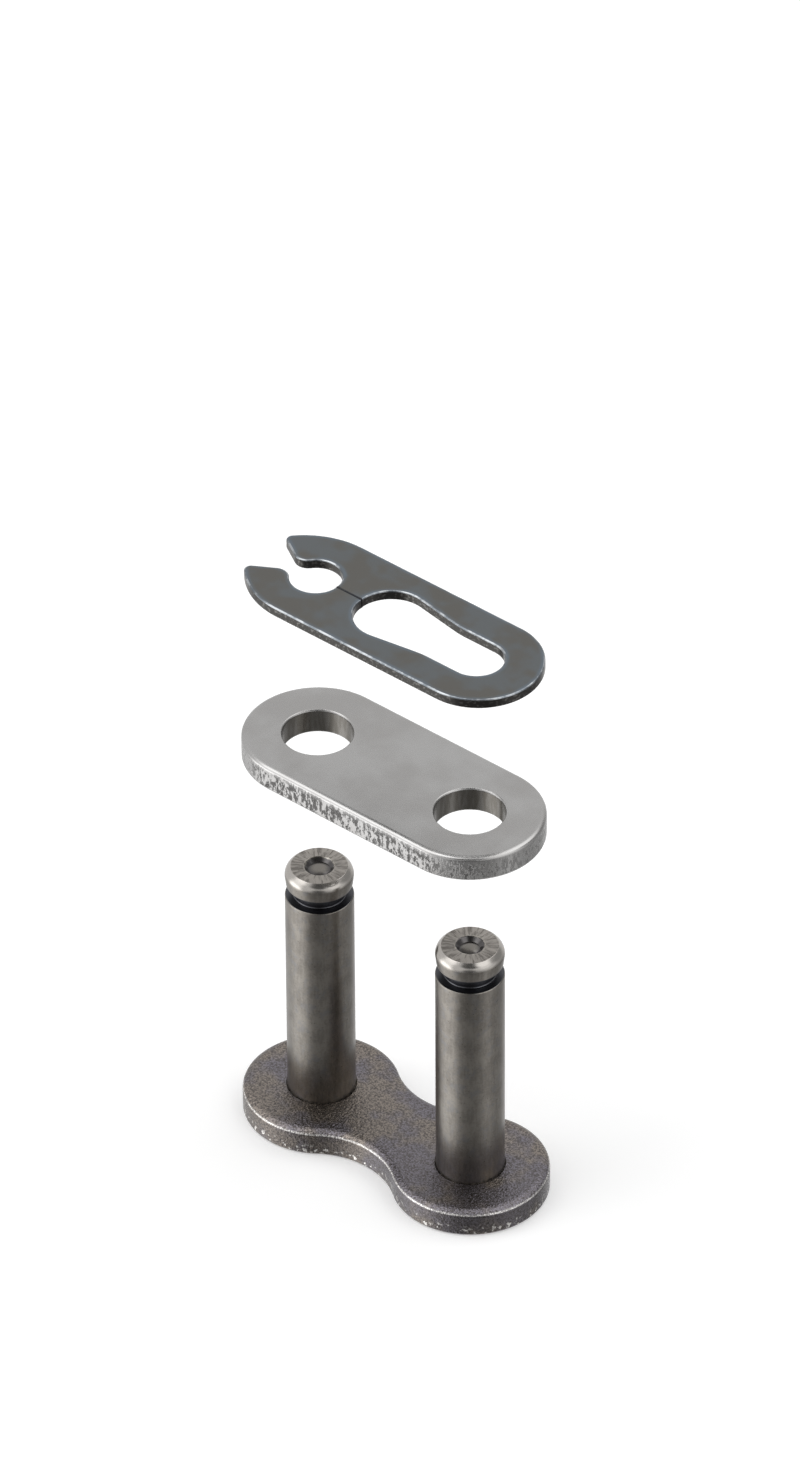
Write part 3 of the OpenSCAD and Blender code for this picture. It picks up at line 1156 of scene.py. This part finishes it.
@dataclass
class LinkPin:
    """One pin: a bearing shaft, the clip groove's neck and a head with a punched dimple.

    Attributes:
        side: Which of the two pins it is.
        half_pitch: Distance from the middle to its axis.
        radius: Radius of the shaft.
        length: Height of its top.
        plate_t: Thickness of the pin plate.
        dimple_d: Diameter of the dimple.
    """

    side: Side
    half_pitch: float
    radius: float
    length: float
    plate_t: float
    dimple_d: float
    squeeze: float = 0.01 * MM
    taper: float = 0.04 * MM
    lead: float = 0.05 * MM
    foot_bevel: float = 0.2 * MM
    rim_bevel: float = 0.08 * MM
    neck_r: float = 1.65 * MM
    groove_h: float = 0.9 * MM
    neck_fillet_r: float = 0.1 * MM
    head_h: float = 1.35 * MM
    head_rim_step: float = 0.08 * MM
    head_corner_r: float = 0.76 * MM
    head_edge_r: float = 0.05 * MM
    head_slope_deg: float = 49.0
    head_flat_r: float = 1.85 * MM
    dimple_lip_r: float = 0.08 * MM
    dimple_lip_deg: float = 135.0
    dimple_depth: float = 0.24 * MM
    dimple_crown: float = 0.1 * MM

    def head_z(self) -> float:
        """Returns the height of the head's underside."""
        return self.length - self.head_h

    def groove_z(self) -> float:
        """Returns the height of the clip groove's floor."""
        return self.head_z() - self.groove_h

    def profile(self) -> list[Vector]:
        """Draws the turned profile from the bottom of the axis to its top.

        Returns:
            Its points of radius and height.
        """
        seat_r = self.radius - self.squeeze
        foot_r = seat_r - self.taper
        groove_z, head_z = self.groove_z(), self.head_z()
        line = Outline().to(
            Vector((0.0, 0.0)),
            Vector((foot_r - self.foot_bevel, 0.0)),
            Vector((foot_r, self.foot_bevel)),
            Vector((seat_r, self.plate_t)),
            Vector((self.radius, self.plate_t + self.lead)),
            Vector((self.radius, groove_z - self.rim_bevel)),
        )
        rim = Vector((self.radius - self.rim_bevel, groove_z - self.rim_bevel))
        line.arc(rim, self.rim_bevel, 0.0, 90.0)
        fillet = Vector((self.neck_r + self.neck_fillet_r, groove_z + self.neck_fillet_r))
        line.arc(fillet, self.neck_fillet_r, 270.0, 180.0)
        line.to(Vector((self.neck_r, head_z)), Vector((self.radius - self.head_rim_step, head_z)))
        return self.dimpled(self.shouldered(line)).points

    def shouldered(self, line: Outline) -> Outline:
        """Adds the head's band, its sloping shoulder and the edge of its face.

        Args:
            line: The profile up to the head's underside.

        Returns:
            The same profile up to the head's face.
        """
        slope = polar(1.0, self.head_slope_deg)
        face_edge = Vector((self.head_flat_r, self.length - self.head_edge_r))
        growth = self.head_corner_r - self.head_edge_r
        corner = Vector((self.radius - self.head_corner_r, 0.0))
        run = (corner - face_edge).x + growth * slope.x
        corner.y = face_edge.y - growth * slope.y - run * slope.x / slope.y
        line.arc(corner, self.head_corner_r, 0.0, self.head_slope_deg)
        return line.arc(face_edge, self.head_edge_r, self.head_slope_deg, 90.0)

    def dimpled(self, line: Outline) -> Outline:
        """Ends the profile with the dimple's rim, wall and domed floor.

        Args:
            line: The profile up to the head's face.

        Returns:
            The same profile up to the axis.
        """
        rim_r = self.dimple_d / 2
        lip = Vector((rim_r + self.dimple_lip_r, self.length - self.dimple_lip_r))
        line.arc(lip, self.dimple_lip_r, 90.0, self.dimple_lip_deg)
        floor_r = rim_r - self.dimple_depth
        crown_r = (floor_r**2 + self.dimple_crown**2) / (2 * self.dimple_crown)
        crown = Vector((0.0, self.length - self.dimple_depth + self.dimple_crown - crown_r))
        return line.arc(crown, crown_r, math.degrees(math.acos(floor_r / crown_r)), 90.0)

    def mesh(self) -> bpy.types.Object:
        """Builds the pin on its own axis.

        Returns:
            The new mesh object.
        """
        made = lathe(f"polished_{self.side.name.lower()}_pin", self.profile())
        made.location.x = self.side.value * self.half_pitch
        return made

    def dress(self, made: bpy.types.Object, material: bpy.types.Material) -> None:
        """Gives the pin its finish and its place in the model.

        Args:
            made: The pin's mesh.
            material: The material that both pins share.
        """
        made.data.materials.append(material)
        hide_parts(f"{self.side.name.lower()}_pin")
        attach(made, "pin_link")


@dataclass
class CoverPlate:
    """The straight-sided plate that closes the link.

    Attributes:
        half_pitch: Distance from the middle to each hole's axis.
        end_r: Radius of each round end.
        foot_z: Height of its underside.
        thickness: The plate's thickness.
    """

    half_pitch: float
    end_r: float
    foot_z: float
    thickness: float
    hole_r: float = 2.3 * MM
    edge_r: float = 0.22 * MM
    edge_turn_deg: float = 60.0
    hole_edge_r: float = 0.15 * MM

    def outline(self) -> Outline:
        """Returns the outer outline: straight sides between two round ends."""
        right, left = Vector((self.half_pitch, 0.0)), Vector((-self.half_pitch, 0.0))
        return Outline().arc(right, self.end_r, -90.0, 90.0).arc(left, self.end_r, 90.0, 270.0).closed()

    def mesh(self) -> bpy.types.Object:
        """Builds the plate.

        Returns:
            The new mesh object.
        """
        top_z = self.foot_z + self.thickness
        axes = [Vector((side.value * self.half_pitch, 0.0)) for side in Side]
        holes = [circle_hole(axis, self.hole_r) for axis in axes]
        tight = Bend(self.edge_r, 0.0, self.edge_turn_deg)
        rim = (tight, Bend(self.edge_r * 2.5, self.edge_turn_deg, 90.0))
        mouth, foot = plain_bend(self.hole_edge_r, 0.0), plain_bend(self.hole_edge_r, -90.0)
        walls = [rounded_wall(self.foot_z, top_z, plain_bend(self.edge_r, -90.0), rim)]
        walls += [rounded_wall(self.foot_z, top_z, foot, mouth) for _ in holes]
        return slab("bright_cover_plate", [self.outline(), *holes], walls)

    def finish(self) -> BrightPlateFinish:
        """Returns the finish that follows the plate's own sizes, which it takes in millimetres."""
        return BrightPlateFinish(self.half_pitch / MM, self.hole_r / MM, (self.foot_z + self.thickness) / MM)

    def dress(self, made: bpy.types.Object, groups: SteelGroups) -> None:
        """Gives the plate its finish and its place in the model.

        Args:
            made: The plate's mesh.
            groups: The node groups of the steels.
        """
        made.data.materials.append(self.finish().material(groups))
        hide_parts("cover_plate")
        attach(made, "cover")


@dataclass
class SpringClip:
    """The hairpin clip, drawn in its own frame with the left pin's axis at the origin.

    Attributes:
        pitch: Distance between the pins' axes.
        half_w: Half its width across the parallel sides.
        foot_z: Height of its underside.
        thickness: The clip's thickness.
    """

    pitch: float
    half_w: float
    foot_z: float
    thickness: float
    notch_r: float = 1.7 * MM
    slot_half_w: float = 1.8 * MM
    pass_r: float = 2.43 * MM
    pass_x: float = 6.25 * MM
    taper_len: float = 4.1 * MM
    blend_r: float = 6.0 * MM
    slot_run: float = 0.55 * MM
    end_run: float = 0.75 * MM
    mouth_w: float = 1.46 * MM
    lip_r: float = 0.92 * MM
    flare_deg: float = 31.0
    tip_r: float = 0.45 * MM
    nose_r: float = 5.8 * MM
    nose_run: float = 0.25 * MM
    slit: float = 0.06 * MM
    edge_r: float = 0.1 * MM
    edge_turn_deg: float = 60.0
    tint_w: float = 0.4 * MM

    def arm(self) -> Outline:
        """Draws the outer half outline, from the closed end round the tip to the notch.

        Returns:
            The outline so far.
        """
        end_x = self.pitch + self.end_run
        nose = Vector((self.nose_run, self.half_w - self.nose_r))
        lip_y = self.mouth_w / 2 + self.lip_r
        lip = Vector((-math.sqrt((self.notch_r + self.lip_r) ** 2 - lip_y**2), lip_y))
        flare = polar(1.0, 180.0 - self.flare_deg)
        inward = polar(1.0, 90.0 - self.flare_deg)
        start = lip + (self.tip_r - self.lip_r) * inward - nose
        reach = self.nose_r - self.tip_r
        along = start.dot(flare)
        run = -along + math.sqrt(along**2 - start.length_squared + reach**2)
        tip = nose + start + run * flare
        below = 270.0 - self.flare_deg
        outline = Outline().arc(Vector((end_x, 0.0)), self.half_w, 0.0, 90.0)
        outline.arc(nose, self.nose_r, 90.0, angle_of(tip - nose))
        outline.arc(tip, self.tip_r, angle_of(tip - nose), below)
        outline.arc(lip, self.lip_r, below, angle_of(-lip) + 360.0)
        slit_turn = math.degrees(math.asin(self.slit / 2 / self.notch_r))
        return outline.arc(Vector((0.0, 0.0)), self.notch_r, angle_of(lip), slit_turn).keep_sharp()

    def opening(self, outline: Outline) -> Outline:
        """Adds the inner half outline, from the slit round the opening to the slot's end.

        Args:
            outline: The outline up to the notch's end of the slit.

        Returns:
            The same outline, up to the X axis.
        """
        wide = Vector((self.pass_x, 0.0))
        slot_x = self.pass_x + self.taper_len
        span = Vector((self.taper_len, self.slot_half_w))
        turn = angle_of(span) + math.degrees(math.acos(self.pass_r / span.length))
        slope = 90.0 - turn
        slit_turn = math.degrees(math.asin(self.slit / 2 / self.pass_r))
        outline.to(wide + polar(self.pass_r, 180.0 - slit_turn)).keep_sharp()
        outline.arc(wide, self.pass_r, 180.0 - slit_turn, turn)
        run = self.blend_r * math.tan(math.radians(slope / 2))
        blend = Vector((slot_x + run, self.slot_half_w + self.blend_r))
        outline.arc(blend, self.blend_r, 270.0 - slope, 270.0)
        end = Vector((self.pitch + self.slot_run, 0.0))
        return outline.arc(end, self.slot_half_w, 90.0, 0.0)

    def mesh(self) -> bpy.types.Object:
        """Builds the clip over the pins.

        Returns:
            The new mesh object.
        """
        outline = self.opening(self.arm()).mirrored().closed().moved(Vector((-self.pitch / 2, 0.0)))
        top_z = self.foot_z + self.thickness
        rim = (Bend(self.edge_r, 0.0, self.edge_turn_deg), Bend(self.edge_r * 2, self.edge_turn_deg, 90.0))
        wall = rounded_wall(self.foot_z, top_z, plain_bend(self.edge_r, -90.0), rim)
        foot, top = Level(self.tint_w, self.foot_z, -90.0, 1.0), Level(self.tint_w, top_z, 90.0, 1.0)
        return slab("tempered_spring_clip", [outline], [[foot, *wall, top]])

    def dress(self, made: bpy.types.Object, finish: TemperedClipFinish, groups: SteelGroups) -> None:
        """Gives the clip its finish and its place in the model.

        Args:
            made: The clip's mesh.
            finish: Its finish.
            groups: The node groups of the steels.
        """
        made.data.materials.append(finish.material(groups))
        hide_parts("spring_clip")
        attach(made, "clip")


def direction(azimuth: float, elevation: float) -> Vector:
    """Returns the unit direction at these angles: azimuth 0 is -Y and 90 is +X, in degrees."""
    turn, rise = math.radians(azimuth), math.radians(elevation)
    return Vector((math.sin(turn) * math.cos(rise), -math.cos(turn) * math.cos(rise), math.sin(rise)))


@dataclass(frozen=True)
class StudioTone:
    """A soft-edged patch of the studio's surroundings.

    Attributes:
        azimuth: Where it stands, in degrees: 0 is -Y and 90 is +X.
        elevation: Its height over the horizon, in degrees.
        inner: Half the angle across its even middle, in degrees.
        outer: Half the angle at which it has faded out, in degrees.
        level: Its brightness, where 1 is white.
    """

    azimuth: float
    elevation: float
    inner: float
    outer: float
    level: float


@dataclass
class Studio:
    """The camera, the floor and the soft light round the link."""

    azimuth: float = 40.393
    elevation: float = 38.019
    roll: float = -0.353
    distance: float = 762.0 * MM
    aim: Vector = field(default_factory=lambda: Vector((-11.856, 14.605, 18.791)) * MM)
    lens: float = 281.942
    near: float = 0.01
    far: float = 50.0
    floor_size: float = 6.0
    floor_drop: float = 0.01 * MM
    floor_colour: Colour = (0.8, 0.8, 0.8)
    floor_glow: float = 0.3
    surround: float = 0.8
    tones: tuple[StudioTone, ...] = (
        StudioTone(145.0, -30.0, 12.0, 42.0, 0.5),
        StudioTone(-38.0, -36.0, 14.0, 36.0, 1.65),
        StudioTone(42.0, -32.0, 12.0, 52.0, 0.33),
        StudioTone(38.0, -2.0, 8.0, 26.0, 0.15),
        StudioTone(40.0, 48.0, 14.0, 30.0, 0.13),
        StudioTone(-38.0, 38.0, 10.0, 22.0, 2.1),
        StudioTone(-38.0, 12.0, 13.0, 27.0, 1.9),
        StudioTone(-40.0, -12.0, 14.0, 28.0, 3.1),
        StudioTone(-56.0, 64.0, 12.0, 24.0, 3.2),
        StudioTone(150.0, 24.0, 18.0, 38.0, 0.45),
        StudioTone(92.0, 24.0, 12.0, 24.0, 1.5),
        StudioTone(95.0, 48.0, 12.0, 24.0, 1.9),
        StudioTone(158.0, 62.0, 12.0, 28.0, 2.4),
    )

    def camera(self) -> None:
        """Sets the camera at the photograph's viewing angle."""
        data = bpy.data.cameras.new("studio_camera")
        data.lens = self.lens
        data.clip_start, data.clip_end = self.near, self.far
        made = bpy.data.objects.new("studio_camera", data)
        back = direction(self.azimuth, self.elevation)
        made.location = self.aim + back * self.distance
        level = (-back).to_track_quat("-Z", "Y").to_matrix()
        lean = math.radians(self.roll)
        right = level.col[0] * math.cos(lean) + level.col[1] * math.sin(lean)
        turned = level.copy()
        turned.col[0], turned.col[1], turned.col[2] = right, back.cross(right), back
        made.rotation_euler = turned.to_euler()
        bpy.context.scene.collection.objects.link(made)
        bpy.context.scene.camera = made

    def floor(self) -> None:
        """Lays the plain pale floor, which keeps the link's shadow and is clear from beneath."""
        half = self.floor_size / 2
        shell = Shell()
        corners = ((-half, -half), (half, -half), (half, half), (-half, half))
        shell.face(shell.add([Vector((x, y, -self.floor_drop)) for x, y in corners]), [UP] * 4)
        made = shell.build("studio_floor")
        made.visible_glossy = False
        made.data.materials.append(self.floor_material())

    def floor_material(self) -> bpy.types.Material:
        """Builds the floor's matt white, which glows a little to the eye alone.

        Returns:
            The new material.
        """
        material = bpy.data.materials.new("studio_floor")
        material.use_nodes = True
        material.node_tree.nodes.clear()
        sheet = Sheet(material.node_tree)
        matt = sheet.node("ShaderNodeBsdfDiffuse", {"Color": (*self.floor_colour, 1.0)})
        shine = sheet.product(sheet.beheld(), self.floor_glow)
        glow = sheet.node("ShaderNodeEmission", {"Strength": shine})
        both = sheet.node("ShaderNodeAddShader", {0: matt.outputs[0], 1: glow.outputs[0]})
        below = sheet.node("ShaderNodeNewGeometry").outputs["Backfacing"]
        clear = sheet.node("ShaderNodeBsdfTransparent")
        sides = sheet.node("ShaderNodeMixShader", {0: below, 1: both.outputs[0], 2: clear.outputs[0]})
        sheet.node("ShaderNodeOutputMaterial", {"Surface": sides.outputs[0]})
        return material

    def surroundings(self) -> None:
        """Paints the world: white behind what the camera sees, soft studio tones elsewhere."""
        world = bpy.data.worlds.new("studio")
        world.use_nodes = True
        world.node_tree.nodes.clear()
        sheet = Sheet(world.node_tree)
        outward = sheet.vector("NORMALIZE", sheet.node("ShaderNodeTexCoord").outputs["Generated"])
        level = sheet.mix(sheet.beheld(), self.surround, 1.0)
        camera = sheet.node("ShaderNodeLightPath").outputs["Is Camera Ray"]
        painted = sheet.rest_of(camera)
        for tone in self.tones:
            towards = {0: outward, 1: tuple(direction(tone.azimuth, tone.elevation))}
            facing = sheet.node("ShaderNodeVectorMath", towards, operation="DOT_PRODUCT").outputs["Value"]
            fade, full = math.cos(math.radians(tone.outer)), math.cos(math.radians(tone.inner))
            mask = sheet.product(sheet.ramp(facing, fade, full), painted)
            level = sheet.mix(mask, level, tone.level)
        sky = sheet.node("ShaderNodeBackground", {"Strength": level})
        sheet.node("ShaderNodeOutputWorld", {"Surface": sky.outputs[0]})
        bpy.context.scene.world = world

    def build(self) -> None:
        """Builds the whole studio."""
        self.camera()
        self.floor()
        self.surroundings()
        bpy.context.scene.view_settings.view_transform = "Standard"


def report(made: bpy.types.Object) -> None:
    """Logs a finished piece."""
    LOG.info("%s: %d faces", made.name, len(made.data.polygons))


def main() -> None:
    """Builds the studio and dresses the link piece by piece."""
    logging.basicConfig(level=logging.INFO, format="%(name)s: %(message)s")
    mounts = {mount["name"]: mount for mount in frame["record"]["mounts"]}
    half_pitch = mounts["right_pin_bearing"]["pos_m"][0]
    pin_r = mounts["right_pin_bearing"]["dims"]["r_mm"] * MM
    plate_lo, plate_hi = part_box("pin_plate")
    cover_lo, cover_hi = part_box("cover_plate")
    clip_lo, clip_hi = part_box("spring_clip")
    groups = SteelGroups()
    Studio().build()

    plate = PinPlate(half_pitch, (plate_hi.y - plate_lo.y) / 2, plate_hi.z)
    made = plate.mesh()
    plate.dress(made, PeenedPlateFinish(), groups)
    report(made)

    pins = []
    for side, dimple_d in ((Side.LEFT, 1.9 * MM), (Side.RIGHT, 1.75 * MM)):
        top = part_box(f"{side.name.lower()}_pin")[1]
        pins.append(LinkPin(side, half_pitch, pin_r, top.z, plate_hi.z, dimple_d))
    polish = PolishedPinFinish(pins[0].groove_z() / MM, pins[0].head_z() / MM).material(groups)
    for pin in pins:
        made = pin.mesh()
        pin.dress(made, polish)
        report(made)

    cover = CoverPlate(half_pitch, (cover_hi.y - cover_lo.y) / 2, cover_lo.z, cover_hi.z - cover_lo.z)
    made = cover.mesh()
    cover.dress(made, groups)
    report(made)

    clip = SpringClip(2 * half_pitch, (clip_hi.y - clip_lo.y) / 2, clip_lo.z, clip_hi.z - clip_lo.z)
    made = clip.mesh()
    clip.dress(made, TemperedClipFinish(), groups)
    report(made)


if __name__ == "__main__":
    main()
